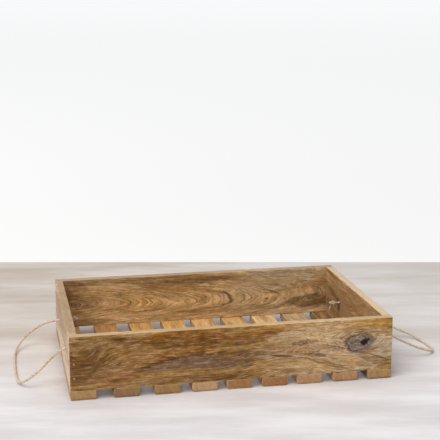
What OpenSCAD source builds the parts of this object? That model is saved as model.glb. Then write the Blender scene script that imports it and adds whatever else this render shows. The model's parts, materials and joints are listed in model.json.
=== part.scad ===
// Shallow slatted crate tray in mango wood, with a loop of jute cord through each end.
// Origin: centre of the footprint, on the underside of the middle slat.
// +X runs along the long side, +Y towards the back board, +Z up. Sizes in millimetres.

/* [Side boards] */
// Outside length of the tray, left to right
tray_length = 400; // [360:1:440]
// Outside width of the tray, front to back
tray_width = 262; // [240:1:300]
// Height of the four side boards
board_height = 67.5; // [60:0.5:90]
// Thickness of the four side boards
board_thickness = 10.5; // [9:0.5:14]
// Radius worn on the boards' top edges
board_easing = 1; // [0.5:0.25:2]

/* [Base slats] */
// Width of one slat
slat_width = 31.2; // [26:0.2:33]
// Thickness of one slat
slat_thickness = 12; // [10:0.5:15]
// Radius worn on the slats' lower edges
slat_easing = 2.5; // [1:0.5:4]
// Relative width of each gap between slats, left to right, as spaced by eye
gap_weights = [20.6, 18.1, 14.7, 12, 12.7, 12.7, 14.6, 13.3]; // [5:0.1:30]

/* [Cord handles] */
// Diameter of the twisted cord
cord_diameter = 3; // [2.5:0.25:4]
// Diameter of the four holes that the cords pass through
cord_hole_diameter = 5; // [5:0.5:8]
// Height of the cord holes above the boards' lower edge
cord_hole_height = 33; // [28:1:40]
// Front and back cord holes in the left end, measured from the tray's centre
left_hole_y = [-66, 52]; // [-80:1:80]
// Front and back cord holes in the right end, measured from the tray's centre
right_hole_y = [-60, 54]; // [-80:1:80]
// How far the left loop reaches out from the end board
left_reach = 73; // [65:1:90]
// How far the right loop reaches out from the end board
right_reach = 99; // [85:1:105]
// How far the left loop's strands sag below a straight line
left_sag = 0; // [0:0.5:4]
// How far the right loop's strands sag below a straight line
right_sag = 3; // [0:0.5:4]
// Diameter of a pulled-tight overhand knot
knot_diameter = 10; // [8:0.5:12]
// Length of the loose tail below each knot
tail_length = 9; // [6:0.5:12]
// Distance a cord can be drawn out before its knots seat on the end board
cord_travel = 3; // [2:0.5:8]

/* [Brads] */
// Diameter of a brad's shank
brad_diameter = 1.4; // [1.2:0.1:1.8]
// Length of a brad
brad_length = 25; // [20:1:28]
// Heights of the two brads in each left corner, above the boards' lower edge
left_brad_heights = [15.6, 33.4]; // [15:0.1:50]
// Heights of the two brads in each right corner, above the boards' lower edge
right_brad_heights = [21.5, 50]; // [15:0.1:50]
// Spacing of the two brads across the end of each slat
slat_brad_spacing = 16; // [10:1:20]
// Distance from the tray's centre to the brads that hold the end slats to the end boards
end_slat_brad_y = 85; // [60:1:100]

/* [Hidden] */
$fn = 48;

// Gap left round a brad, and how far a cut runs past the face it starts from
brad_clearance = 0.02;
overshoot = 1;

// A brad's head, and how far it is punched below the surface
brad_head_diameter = 2.2;
brad_head_thickness = 0.8;
brad_set_depth = 0.2;

half_length = tray_length / 2;
half_width = tray_width / 2;
end_board_length = tray_width - 2 * board_thickness;
corner_brad_x = half_length - board_thickness / 2;
slat_brad_y = half_width - board_thickness / 2;

// Slats: the length that is left over is shared out among the gaps by weight
slat_count = len(gap_weights) + 1;
open_length = tray_length - slat_count * slat_width;
function total(list, n) = n == 0 ? 0 : list[n - 1] + total(list, n - 1);
function slat_x(i) =
    -half_length + i * slat_width + open_length * total(gap_weights, i) / total(gap_weights, slat_count - 1);

// Cords: a loop turns about the line through its two hole mouths, just clear of the board.
// A small gap parts it from the strands in the holes, and another parts a seated knot from the
// wood.
cord_radius = cord_diameter / 2;
hinge_offset = cord_radius + 0.7;
hinge_x = half_length + hinge_offset;
hinge_z = slat_thickness + cord_hole_height;
shank_gap = 0.2;
knot_seat_gap = 0.3;
knot_x = half_length - board_thickness - cord_travel - knot_seat_gap - knot_diameter / 2;

// How finely a loop's curve, its round section and its rounded ends are divided
steps_per_span = 7;
cord_sides = 12;
cap_angles = [20, 45, 70];

pale_wood = [0.72, 0.57, 0.40];
brown_wood = [0.52, 0.40, 0.27];
golden_wood = [0.68, 0.49, 0.29];
jute = [0.74, 0.66, 0.52];
steel = [0.66, 0.66, 0.67];

// The lie of each cord seen square on: [share of the reach, place across the tray]
left_course = [
    [0, left_hole_y[1]], [0.3, 80], [0.68, 86], [0.95, 58], [1, 0],
    [0.94, -64], [0.62, -79], [0.28, -68], [0, left_hole_y[0]]
];
right_course = [
    [0, right_hole_y[1]], [0.32, 37], [0.64, 22], [0.9, 10], [1, -24],
    [0.93, -54], [0.64, -64], [0.31, -60], [0, right_hole_y[0]]
];

// ---------------------------------------------------------------- curves

// A point on the smooth curve through b and c, at share t of the way between them
function on_curve(a, b, c, d, t) =
    0.5 * (2 * b + (c - a) * t + (2 * a - 5 * b + 4 * c - d) * t * t + (3 * b - a - 3 * c + d) * t * t * t);

function smooth_path(p) =
    let (last = len(p) - 1, q = concat([2 * p[0] - p[1]], p, [2 * p[last] - p[last - 1]]))
    concat(
        [for (i = [0:last - 1]) for (k = [0:steps_per_span - 1])
            on_curve(q[i], q[i + 1], q[i + 2], q[i + 3], k / steps_per_span)],
        [p[last]]
    );

function unit(v) = v / norm(v);
function heading(path, i) = unit(path[min(i + 1, len(path) - 1)] - path[max(i - 1, 0)]);

// Stations along a cord with rounded ends: [point, heading, radius]
function stations(path, r) =
    let (last = len(path) - 1, start = heading(path, 0), finish = heading(path, last))
    concat(
        [for (a = cap_angles) [path[0] - r * cos(a) * start, start, r * sin(a)]],
        [for (i = [0:last]) [path[i], heading(path, i), r]],
        [for (k = [len(cap_angles) - 1:-1:0])
            [path[last] + r * cos(cap_angles[k]) * finish, finish, r * sin(cap_angles[k])]]
    );

// A round cord along a path that runs close to the XY plane
module cord(path, r) {
    rings = stations(path, r);
    n = cord_sides;
    last = len(rings) - 1;
    points = [for (s = rings)
        let (side = unit(cross([0, 0, 1], s[1])), up = cross(s[1], side))
        for (k = [0:n - 1]) s[0] + s[2] * (cos(360 * k / n) * side + sin(360 * k / n) * up)];
    sides = [for (i = [0:last - 1]) for (k = [0:n - 1])
        let (j = (k + 1) % n)
        each [[i * n + k, i * n + j, (i + 1) * n + j], [i * n + k, (i + 1) * n + j, (i + 1) * n + k]]];
    polyhedron(
        points = points,
        faces = concat([[for (k = [n - 1:-1:0]) k]], sides, [[for (k = [0:n - 1]) last * n + k]])
    );
}

// ---------------------------------------------------------------- shared shapes

// Section of a sawn bar whose corners at y = 0 are rounded
module eased_section(width, height, r) {
    translate([0, r]) square([width, height - r]);
    translate([r, 0]) square([width - 2 * r, height]);
    for (x = [r, width - r]) translate([x, r]) circle(r);
}

// A side board along X: outer face at y = 0, lower edge at z = 0, top edges eased
module side_board(length) {
    translate([-length / 2, 0, board_height])
        rotate([90, 0, 90])
            linear_extrude(length)
                mirror([0, 1]) eased_section(board_thickness, board_height, board_easing);
}

// One brad, head at z = 0 and point down
module brad() {
    translate([0, 0, -brad_set_depth - brad_head_thickness])
        cylinder(h = brad_head_thickness, d = brad_head_diameter);
    translate([0, 0, -brad_length]) cylinder(h = brad_length - brad_set_depth, d = brad_diameter);
}

// The hole that a brad makes, open at the face where the head is set
module brad_hole() {
    head_depth = brad_set_depth + brad_head_thickness;
    translate([0, 0, -head_depth - brad_clearance])
        cylinder(h = head_depth + overshoot, d = brad_head_diameter + 2 * brad_clearance);
    translate([0, 0, -brad_length - brad_clearance])
        cylinder(h = brad_length + overshoot, d = brad_diameter + 2 * brad_clearance);
}

// Children placed at every corner brad, pointing in from the front and back faces
module at_corner_brads() {
    for (face = [-1, 1]) for (k = [0, 1]) {
        translate([-corner_brad_x, face * half_width, slat_thickness + left_brad_heights[k]])
            rotate([-90 * face, 0, 0]) children();
        translate([corner_brad_x, face * half_width, slat_thickness + right_brad_heights[k]])
            rotate([-90 * face, 0, 0]) children();
    }
}

// Children placed at every slat brad, pointing up from the underside
module at_slat_brads() {
    for (i = [0:slat_count - 1]) for (side = [-1, 1]) for (face = [-1, 1])
        translate([slat_x(i) + slat_width / 2 + side * slat_brad_spacing / 2, face * slat_brad_y, 0])
            rotate([180, 0, 0]) children();
    for (end = [-1, 1]) for (side = [-1, 1])
        translate([end * corner_brad_x, side * end_slat_brad_y, 0])
            rotate([180, 0, 0]) children();
}

// ---------------------------------------------------------------- boards

module long_board(face) {
    difference() {
        translate([0, face * half_width, slat_thickness])
            rotate([0, 0, face > 0 ? 180 : 0]) side_board(tray_length);
        at_corner_brads() brad_hole();
        at_slat_brads() brad_hole();
    }
}

module end_board(end, holes) {
    difference() {
        translate([end * half_length, 0, slat_thickness])
            rotate([0, 0, end * 90]) side_board(end_board_length);
        at_corner_brads() brad_hole();
        at_slat_brads() brad_hole();
        for (y = holes)
            translate([end * (half_length + overshoot), y, hinge_z])
                rotate([0, -90 * end, 0])
                    cylinder(h = board_thickness + 2 * overshoot, d = cord_hole_diameter);
    }
}

module base_slat(i) {
    color(i % 3 == 1 ? brown_wood : golden_wood)
        difference() {
            translate([slat_x(i), half_width, 0])
                rotate([90, 0, 0])
                    linear_extrude(tray_width) eased_section(slat_width, slat_thickness, slat_easing);
            at_slat_brads() brad_hole();
        }
}

module front_board() { color(brown_wood) long_board(-1); }
module back_board() { color(brown_wood) long_board(1); }
module left_end_board() { color(pale_wood) end_board(-1, left_hole_y); }
module right_end_board() { color(pale_wood) end_board(1, right_hole_y); }
module base_slat_1() { base_slat(0); }
module base_slat_2() { base_slat(1); }
module base_slat_3() { base_slat(2); }
module base_slat_4() { base_slat(3); }
module base_slat_5() { base_slat(4); }
module base_slat_6() { base_slat(5); }
module base_slat_7() { base_slat(6); }
module base_slat_8() { base_slat(7); }
module base_slat_9() { base_slat(8); }

// ---------------------------------------------------------------- cord handles

// A loop hanging out of the right-hand end, tilted until its outermost strand meets the table
module cord_loop(course, reach, sag) {
    path = smooth_path([for (c = course) [c[0] * reach, c[1], -sag * sin(180 * c[0])]]);
    droop = asin((hinge_z - cord_radius) / max([for (p = path) p[0]]));
    color(jute)
        translate([hinge_x, 0, hinge_z]) rotate([0, droop, 0]) cord(path, cord_radius);
}

// A knot inside the right-hand end, with its strand through the hole and its loose tail
module knot(y) {
    strand_end = hinge_x - cord_radius - shank_gap;
    color(jute)
        translate([knot_x, y, hinge_z]) {
            rotate([0, 0, 90]) sphere(d = knot_diameter);
            rotate([0, 90, 0]) cylinder(h = strand_end - knot_x, r = cord_radius);
            rotate([0, -150, 0]) cylinder(h = knot_diameter / 2 + tail_length, r = cord_radius);
        }
}

module left_cord_loop() { mirror([1, 0, 0]) cord_loop(left_course, left_reach, left_sag); }
module left_front_knot() { mirror([1, 0, 0]) knot(left_hole_y[0]); }
module left_back_knot() { mirror([1, 0, 0]) knot(left_hole_y[1]); }
module right_cord_loop() { cord_loop(right_course, right_reach, right_sag); }
module right_front_knot() { knot(right_hole_y[0]); }
module right_back_knot() { knot(right_hole_y[1]); }

// ---------------------------------------------------------------- brads

module corner_brads() { color(steel) at_corner_brads() brad(); }
module slat_brads() { color(steel) at_slat_brads() brad(); }

front_board();
back_board();
left_end_board();
right_end_board();
base_slat_1();
base_slat_2();
base_slat_3();
base_slat_4();
base_slat_5();
base_slat_6();
base_slat_7();
base_slat_8();
base_slat_9();
left_cord_loop();
left_front_knot();
left_back_knot();
right_cord_loop();
right_front_knot();
right_back_knot();
corner_brads();
slat_brads();
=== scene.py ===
"""Looks of a slatted mango-wood crate tray with jute cord handles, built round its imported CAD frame.

Lengths are millimetres in the row frame, +X right, +Y back, +Z up. Meshes are made in metres.
"""

import json
import math
from collections import namedtuple

import bpy
import numpy as np
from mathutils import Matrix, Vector, noise


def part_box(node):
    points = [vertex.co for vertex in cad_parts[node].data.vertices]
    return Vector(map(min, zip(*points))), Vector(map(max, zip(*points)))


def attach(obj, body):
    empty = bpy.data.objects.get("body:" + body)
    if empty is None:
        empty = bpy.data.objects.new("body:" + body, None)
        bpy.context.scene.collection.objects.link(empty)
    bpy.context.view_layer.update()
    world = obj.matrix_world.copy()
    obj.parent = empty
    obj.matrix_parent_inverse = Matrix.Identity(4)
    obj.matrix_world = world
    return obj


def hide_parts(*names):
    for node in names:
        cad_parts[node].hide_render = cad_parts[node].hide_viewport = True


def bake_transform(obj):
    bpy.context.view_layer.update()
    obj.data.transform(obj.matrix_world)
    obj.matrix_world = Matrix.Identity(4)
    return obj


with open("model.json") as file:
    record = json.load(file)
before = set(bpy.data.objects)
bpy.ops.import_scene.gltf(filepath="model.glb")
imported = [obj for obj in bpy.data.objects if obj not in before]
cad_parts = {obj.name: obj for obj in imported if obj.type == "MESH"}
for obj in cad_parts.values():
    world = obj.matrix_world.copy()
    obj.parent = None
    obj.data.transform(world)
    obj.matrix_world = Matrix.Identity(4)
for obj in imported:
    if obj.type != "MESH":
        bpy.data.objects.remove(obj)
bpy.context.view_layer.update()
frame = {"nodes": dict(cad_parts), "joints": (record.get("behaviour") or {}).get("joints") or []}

MM = 0.001
SEED = 20
TABLE_GAP = 0.05

# ---- sizes read from the frame


def node_box(name):
    """Lowest and highest corner of a CAD node, in millimetres."""
    low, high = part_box(name)
    return np.array(low) / MM, np.array(high) / MM


# The cord's radius as a share of the radius of the ball that stands for a knot in the CAD model
CORD_SHARE = 0.3

FRONT_LOW, FRONT_HIGH = node_box("front_board")
BACK_LOW, BACK_HIGH = node_box("back_board")
HINGE = next(j for j in frame["joints"] if j["name"] == "right_loop_swing")
HINGE_X, _, HOLE_Z = (c / MM for c in HINGE["pos_m"])
CORD_RADIUS = (node_box("left_back_knot")[1][2] - HOLE_Z) * CORD_SHARE


def hole_y(node):
    low, high = node_box(node)
    return (low[1] + high[1]) / 2


# ---- shader arithmetic


def feed(socket, value):
    """Links a Value to a socket, or sets the socket's own value."""
    if isinstance(value, Value):
        socket.id_data.links.new(value.socket, socket)
    elif isinstance(value, tuple):
        socket.default_value = (*value, 1.0) if len(value) == 3 else value
    else:
        socket.default_value = value


def add_node(tree, kind, inputs, output=0, **settings):
    node = tree.nodes.new(kind)
    for name, value in settings.items():
        setattr(node, name, value)
    for name, value in inputs.items():
        feed(node.inputs[name], value)
    return Value(tree, node.outputs[output])


def two_sided(operation):
    """An operator of the Value class that works as the named Math node."""
    return lambda value, other: value.math(operation, other)


class Value:
    """A shader socket that takes part in arithmetic. Each operation adds one Math node."""

    def __init__(self, tree, socket):
        self.tree = tree
        self.socket = socket

    def math(self, operation, *others, clamp=False):
        inputs = dict(enumerate((self, *others)))
        return add_node(self.tree, "ShaderNodeMath", inputs, operation=operation, use_clamp=clamp)

    def __rsub__(self, other):
        return self * -1.0 + other

    __add__ = __radd__ = two_sided("ADD")
    __sub__ = two_sided("SUBTRACT")
    __mul__ = __rmul__ = two_sided("MULTIPLY")
    __truediv__ = two_sided("DIVIDE")

    def squared(self):
        return self.math("MULTIPLY", self)

    def size(self):
        return self.math("ABSOLUTE")


def noise_at(x, y, z, detail=3.0, roughness=0.55):
    """Noise between about 0.2 and 0.8, with its coarsest grain one unit across."""
    place = add_node(x.tree, "ShaderNodeCombineXYZ", {0: x, 1: y, 2: z})
    inputs = {"Vector": place, "Scale": 1.0, "Detail": detail, "Roughness": roughness}
    return add_node(x.tree, "ShaderNodeTexNoise", inputs)


def step(value, low, high):
    """0 below low and 1 above high, smooth in between."""
    inputs = {"Value": value, "From Min": low, "From Max": high}
    return add_node(value.tree, "ShaderNodeMapRange", inputs, interpolation_type="SMOOTHSTEP")


def blend_colours(tree, amount, first, second, blend):
    inputs = {0: amount, 6: first, 7: second}
    return add_node(tree, "ShaderNodeMix", inputs, output=2, data_type="RGBA", blend_type=blend)


def mix(amount, first, second):
    """The first colour where amount is 0 and the second where it is 1."""
    return blend_colours(amount.tree, amount, first, second, "MIX")


def shade(colour, factor):
    """The colour times a factor."""
    return blend_colours(colour.tree, 1.0, colour, factor, "MULTIPLY")


def ramp(value, colours):
    """Colours spread evenly over 0 to 1."""
    node = value.tree.nodes.new("ShaderNodeValToRGB")
    elements = node.color_ramp.elements
    for place in range(1, len(colours) - 1):
        elements.new(place / (len(colours) - 1))
    for element, colour in zip(elements, colours):
        element.color = (*colour, 1.0)
    feed(node.inputs[0], value)
    return Value(value.tree, node.outputs[0])


def node_group(name, inputs, build):
    """A reusable piece of shader arithmetic: build takes Values and returns a dict of Values."""
    group = bpy.data.node_groups.new(name, "ShaderNodeTree")
    for label in inputs:
        group.interface.new_socket(name=label, in_out="INPUT", socket_type="NodeSocketFloat")
    entry = group.nodes.new("NodeGroupInput")
    results = build(*[Value(group, entry.outputs[label]) for label in inputs])
    for label in results:
        group.interface.new_socket(name=label, in_out="OUTPUT", socket_type="NodeSocketFloat")
    leave = group.nodes.new("NodeGroupOutput")
    for label, value in results.items():
        feed(leave.inputs[label], value)
    return group


def use_group(group, tree, *inputs):
    """Adds a node group to a tree and returns its outputs by name."""
    node = tree.nodes.new("ShaderNodeGroup")
    node.node_tree = group
    for socket, value in zip(node.inputs, inputs):
        feed(socket, value)
    return {socket.name: Value(tree, socket) for socket in node.outputs}


def rgb(red, green, blue):
    """A colour given as screen values from 0 to 255, as linear light."""
    return tuple(((c / 255 + 0.055) / 1.055) ** 2.4 for c in (red, green, blue))


def tones(*colours):
    return [rgb(*colour) for colour in colours]


def new_material(name):
    material = bpy.data.materials.new(name)
    material.use_nodes = True
    tree = material.node_tree
    return material, tree, tree.nodes["Principled BSDF"]


def set_surface(shader, inputs, height=None, strength=1.0):
    """Fills a shader's inputs by name, and adds bump from a height in millimetres."""
    for name, value in inputs.items():
        feed(shader.inputs[name], value)
    if height is not None:
        bump = {"Height": height, "Distance": MM, "Strength": strength}
        feed(shader.inputs["Normal"], add_node(height.tree, "ShaderNodeBump", bump))


def split_vector(tree, vector):
    """The X, Y and Z sockets of a vector socket."""
    split = tree.nodes.new("ShaderNodeSeparateXYZ")
    tree.links.new(vector, split.inputs[0])
    return list(split.outputs)


def object_axes(tree):
    """X, Y and Z of the surface in millimetres."""
    coordinates = tree.nodes.new("ShaderNodeTexCoord").outputs["Object"]
    return [Value(tree, out) * (1 / MM) for out in split_vector(tree, coordinates)]


# ---- wood

# A stain is a pointed, lens-shaped patch that lies along the grain. bow lifts its middle. Some stains are
# painted shade, painted shadow or painted reflection.
Stain = namedtuple("Stain", "colour along across length height strength slant bow", defaults=(0.0, 0.0))
# A swell bends the grain: rise nests the grain lines into arches, part leads them round both sides.
Swell = namedtuple("Swell", "along across length height rise part", defaults=(0.0,))
# The pith runs under a flat-sawn face, depth + slope * along below it, and makes pointed arches along it.
Pith = namedtuple("Pith", "across depth slope")
Knot = namedtuple("Knot", "along across length height heart")
# How one piece of wood looks. curl is (centre along, centre across, half length, half height). edge is the
# tone of the top and bottom faces, partly pale sawn wood and partly a painted highlight.
Look = namedtuple(
    "Look", "tones end_tones swells pith stains knots curl edge contrast lift rings dark golden",
)

UMBER = rgb(90, 60, 20)
BROWN = rgb(124, 86, 38)
TAN = rgb(156, 117, 62)
SAND = rgb(184, 147, 96)
CREAM = rgb(208, 178, 134)
AMBER = rgb(140, 88, 12)
GOLD = rgb(182, 134, 58)
RUST = rgb(138, 86, 38)
SMOKE = rgb(116, 92, 72)
ASH = rgb(172, 152, 124)
SOOT = rgb(40, 28, 24)

RING_BROWN = rgb(72, 44, 10)
VEIN_BROWN = rgb(84, 54, 8)
PORE_BROWN = rgb(62, 38, 10)
PALE_FIBRE_AND_SHEEN = rgb(220, 196, 168)
RUBBED_AND_LIT_EDGE = rgb(218, 186, 140)
END_TONES = tones((206, 180, 146), (246, 232, 214))
CURL_TONES = tones((106, 76, 42), (214, 180, 136))
KNOT_TONES = tones((98, 78, 66), (164, 144, 128))
CHECK_TONES = tones((52, 38, 32), (198, 182, 162))
KNOT_RIM = rgb(78, 54, 34)
# How strongly each kind of mark shows
GREY_SHARE = 0.24
PALE_AND_SHEEN_SHARE = 0.24
TICK_SHARE = 0.34
PORE_SHARE = 0.50

# Tones run from the darkest grain to the palest
FRONT_TONES = (UMBER, BROWN, TAN, SAND, CREAM)
BACK_TONES = tones((122, 92, 56), (160, 126, 82), (188, 152, 104), (208, 174, 126), (224, 196, 154))
RIGHT_TONES = tones((122, 92, 62), (152, 119, 83), (174, 140, 102), (192, 158, 119), (206, 175, 137))
# The left end's tones are pale: partly its wood and partly painted sheen of the light from the left
LEFT_TONES_AND_SHEEN = tones((144, 118, 90), (174, 147, 118), (198, 170, 141), (214, 189, 163), (228, 207, 184))


def stains(*rows):
    """Stains in the order they are laid."""
    return [Stain(*row) for row in rows]


def grain_parts(u, v, w, level, seed):
    """Every kind of mark that runs with the grain. The noises lie about 0.5, the others run from 0 to 1."""
    broad = noise_at(u / 95, level / 14, w / 40 + (seed + 11), detail=2.0)
    streaks = noise_at(u / 40, level / 3.0, w / 24 + v / 16 + (seed + 23), detail=5.0, roughness=0.64)
    lines = noise_at(u / 17, level / 1.0, w / 7 + (seed + 31), roughness=0.6)
    fibre = noise_at(u / 6, level / 0.38, w / 0.6 + seed, detail=2.0)
    mottle = noise_at(u / 9, v / 4.2, w / 5 + (seed + 47), detail=4.0, roughness=0.65)
    flecks = noise_at(u / 3.6, level / 0.66, w / 0.8 + (seed + 89), detail=2.0, roughness=0.7)
    rings = noise_at(level / 1.5, u / 340, seed + 5, detail=0.0)
    strands = noise_at(u / 24, level / 1.5, w / 16 + v / 9 + (seed + 53), detail=4.0, roughness=0.6)
    ticks = noise_at(u / 8, level / 1.3, w / 5 + (seed + 97), detail=2.0)
    golden = noise_at(u / 55, level / 7, w / 30 + (seed + 61), detail=4.0)
    grey = noise_at(u / 80, level / 10, w / 30 + (seed + 73), detail=4.0)
    return {
        "slow": 0.5 + (broad - 0.5) * 1.25 + (streaks - 0.5) * 1.15,
        "fine": (
            1.0 + (streaks - 0.5) * 1.0 + (lines - 0.5) * 1.9 + (fibre - 0.5) * 0.7 + (mottle - 0.5) * 1.4
            + step(strands, 0.42, 0.33) * 0.24 + step(flecks, 0.36, 0.28) * 0.2
        ),
        "ragged": (strands - 0.5) * 1.5 + (mottle - 0.5) * 1.1,
        "dark": step(strands, 0.57, 0.68),
        "pores": step(flecks, 0.63, 0.71),
        "ticks": step(ticks, 0.58, 0.66) - step(ticks, 0.40, 0.34) * 0.6,
        "ring": step((rings - 0.5).size(), 0.045, 0.0) * step(mottle + (lines - 0.5), 0.36, 0.56),
        "golden": step(golden, 0.52, 0.64),
        "grey": step(grey, 0.56, 0.68),
        "relief": fibre * 0.03 + lines * 0.06 + streaks * 0.05,
    }


def stain_share(u, v, ragged, along, across, length, height, strength, slant, bow):
    """How much of a stain shows at a place. ragged frays its outline."""
    share = (u - along) / length
    hump = 1.0 - share.squared()
    middle = hump * bow + (u - along) * slant + across
    inside = hump * height - (v - middle).size() + ragged * (height * 0.55 + 2.2)
    soft = height * 0.14 + 0.6
    return {"share": step(inside, soft * -1.0, soft) * strength}


GRAIN = node_group("grain", ("u", "v", "w", "level", "seed"), grain_parts)
STAIN = node_group("stain", ("u", "v", "ragged", *Stain._fields[1:]), stain_share)


def grain_level(u, v, w, seed, swells, pith):
    """The lie of the grain: places with the same level lie on the same growth ring."""
    drift = noise_at(u / 170, v / 60, w / 70 + seed, detail=1.0) - 0.5
    waver = noise_at(u / 34, v / 11, w / 22 + seed) - 0.5
    if pith:
        away = v - pith.across + drift * 18.0
        level = (away.squared() + (u * pith.slope + pith.depth + waver * 0.8).squared()).math("SQRT")
        level = level + w * 0.5 + waver * 0.9
    else:
        level = v + w * 0.5 + drift * 20.0 + waver * 4.0
    for s in swells:
        over = (v - s.across) / s.height
        reach = ((u - s.along) / s.length).squared() + over.squared()
        level = level + (reach * -1.0).math("EXPONENT") * (s.rise - over * s.part)
    return level


def add_knots(colour, u, v, knots, seed):
    """Round branch ends: smoky rings, hairline checks across them, and a black heart."""
    for k in knots:
        du = (u - k.along) / k.length
        dv = (v - k.across) / k.height
        wobble = (noise_at(du * 1.5, dv * 1.5, seed) - 0.5) * 0.75
        far = (du.squared() + dv.squared()).math("SQRT") + wobble
        rings = noise_at(far * 5.0, u / 40, seed, detail=2.0)
        checks = noise_at(du * 5.0, dv * 5.0, seed + 3, detail=4.0, roughness=0.75)
        face = mix(step(rings + (checks - 0.5) * 0.5, 0.36, 0.64), *KNOT_TONES)
        face = mix(step(checks, 0.55, 0.62) * 0.7, face, CHECK_TONES[1])
        face = mix(step(checks, 0.40, 0.34) * 0.8, face, CHECK_TONES[0])
        rim = step(far, 0.7, 0.95) - step(far, 1.0, 1.3)
        colour = mix(step(far, 1.25, 0.9) * 0.95, colour, face)
        colour = mix(rim * 0.35, colour, KNOT_RIM)
        heart_u = (u - k.along - k.heart) / (k.length * 0.38)
        heart_v = (v - k.across - k.heart * 0.1 - heart_u * 2.4) / (k.height * 0.40)
        heart = (heart_u.squared() + heart_v.squared()).math("SQRT")
        heart = heart + wobble * 1.4 + (checks - 0.5) * 1.6
        colour = mix(step(heart, 1.15, 0.8), colour, SOOT)
    return colour


def near_face(value, low, high, reach):
    """1 on either of two opposite faces, falling to 0 at reach inside them."""
    gap = (value - low).math("MINIMUM", high - value)
    return step(gap, reach, 0.0)


def curly_figure(u, v, w, level, where, seed):
    """Short slanting ripples inside an ellipse (centre along, centre across, half length, half height)."""
    centre_u, centre_v, half_u, half_v = where
    inside = ((u - centre_u) / half_u).squared() + ((v - centre_v) / half_v).squared()
    edge = noise_at(u / 26, level / 5, w + seed, detail=2.0)
    waves = noise_at(u / 2.3 + v / 2.6, level / 2.0, w / 4 + seed, detail=2.0)
    return (waves - 0.5) * step(inside + (edge - 0.5) * 2.0, 1.3, 0.3)


def add_stains(colour, u, v, ragged, marks):
    """The colour with each stain laid over it in turn."""
    for stain_colour, *numbers in marks:
        share = use_group(STAIN, u.tree, u, v, ragged, *map(float, numbers))["share"]
        colour = mix(share, colour, stain_colour)
    return colour


def face_colour(grain, u, v, look):
    """Colour of the long faces, and the brightness of their fine grain."""
    slow = grain["slow"]
    colour = ramp(slow, look.tones)
    colour = mix(grain["golden"] * (look.golden * look.contrast), colour, mix(slow, AMBER, GOLD))
    colour = mix(grain["grey"] * (GREY_SHARE * look.contrast), colour, mix(slow, SMOKE, ASH))
    colour = add_stains(colour, u, v, grain["ragged"], look.stains)
    fine = (grain["fine"] - 1.0) * look.contrast + look.lift
    colour = shade(colour, fine)
    # The brightest grain turns pale cream: partly pale fibres and partly a painted wax sheen
    colour = mix(step(fine, look.lift + 0.05, look.lift + 0.5) * PALE_AND_SHEEN_SHARE, colour, PALE_FIBRE_AND_SHEEN)
    colour = mix(grain["ring"] * look.rings, colour, RING_BROWN)
    colour = mix(grain["dark"] * (look.dark * look.contrast), colour, VEIN_BROWN)
    colour = shade(colour, 1.0 - grain["ticks"] * (TICK_SHARE * look.contrast))
    return mix(grain["pores"] * PORE_SHARE, colour, PORE_BROWN), fine


def sawn_end(v, w, dots, seed, end_tones):
    """Open pores and faint growth rings across the sawn ends."""
    arcs = noise_at(v / 3.2 + w / 14, w / 9, seed + 7, detail=4.0, roughness=0.6)
    return mix(step(arcs + (dots - 0.5) * 0.5, 0.25, 0.75), *end_tones)


def wood(name, order, box, face, seed, look):
    """Waxed mango wood. order names the axes along, across and through it; face is where through is 0."""
    material, tree, shader = new_material(name)
    axes = object_axes(tree)
    u, v, w = (axes["xyz".index(letter)] for letter in order)
    w = w - face
    level = grain_level(u, v, w, seed, look.swells, look.pith)
    grain = use_group(GRAIN, tree, u, v, w, level, float(seed))
    leaning = u + w * 1.6, v + w * 0.9
    colour, fine = face_colour(grain, *leaning, look)
    relief = grain["relief"] - grain["pores"] * 0.05
    if look.curl:
        curl = curly_figure(u, v, w, level, look.curl, seed + 97)
        colour = mix(step(curl, 0.02, 0.16) * 0.45, colour, CURL_TONES[1])
        colour = mix(step(curl, -0.03, -0.16) * 0.5, colour, CURL_TONES[0])
        relief = relief + curl * 0.08
    colour = add_knots(colour, *leaning, look.knots, seed)

    near = [near_face(axis, low, high, 0.9) for axis, low, high in zip(axes, *box)]
    sawn = near["xyz".index(order[0])]
    dots = noise_at(v / 0.8, w / 0.8, u / 3 + seed, detail=2.0)
    colour = mix(sawn * 0.92, colour, sawn_end(v, w, dots, seed, look.end_tones))

    # The top and bottom faces have a tone of their own, partly pale sawn wood and partly a painted
    # highlight of the light from above; where two faces meet the wax is rubbed thin and paler, partly wear
    # and partly a painted highlight
    if look.edge:
        colour = mix(near[2] * (1.0 - sawn) * 0.62, colour, look.edge)
    rub = noise_at(u / 14, v / 5, w / 5 + seed + 101)
    worn = near[0] + near[1] + near[2] - 1.0 + (rub - 0.5) * 0.9
    worn = worn.math("MULTIPLY", 1.0, clamp=True)
    # Lighter edges: rubbed wax and a painted highlight
    colour = mix(worn * 0.6, colour, RUBBED_AND_LIT_EDGE)

    rough = 0.50 + (fine - look.lift) * 0.2 + grain["pores"] * 0.2 + worn * 0.12 + sawn * 0.12
    inputs = {"Base Color": colour, "Roughness": rough, "Specular IOR Level": 0.2}
    set_surface(shader, inputs, relief * (1.0 - sawn) + dots * sawn * 0.04, 0.8)
    return material
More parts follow.
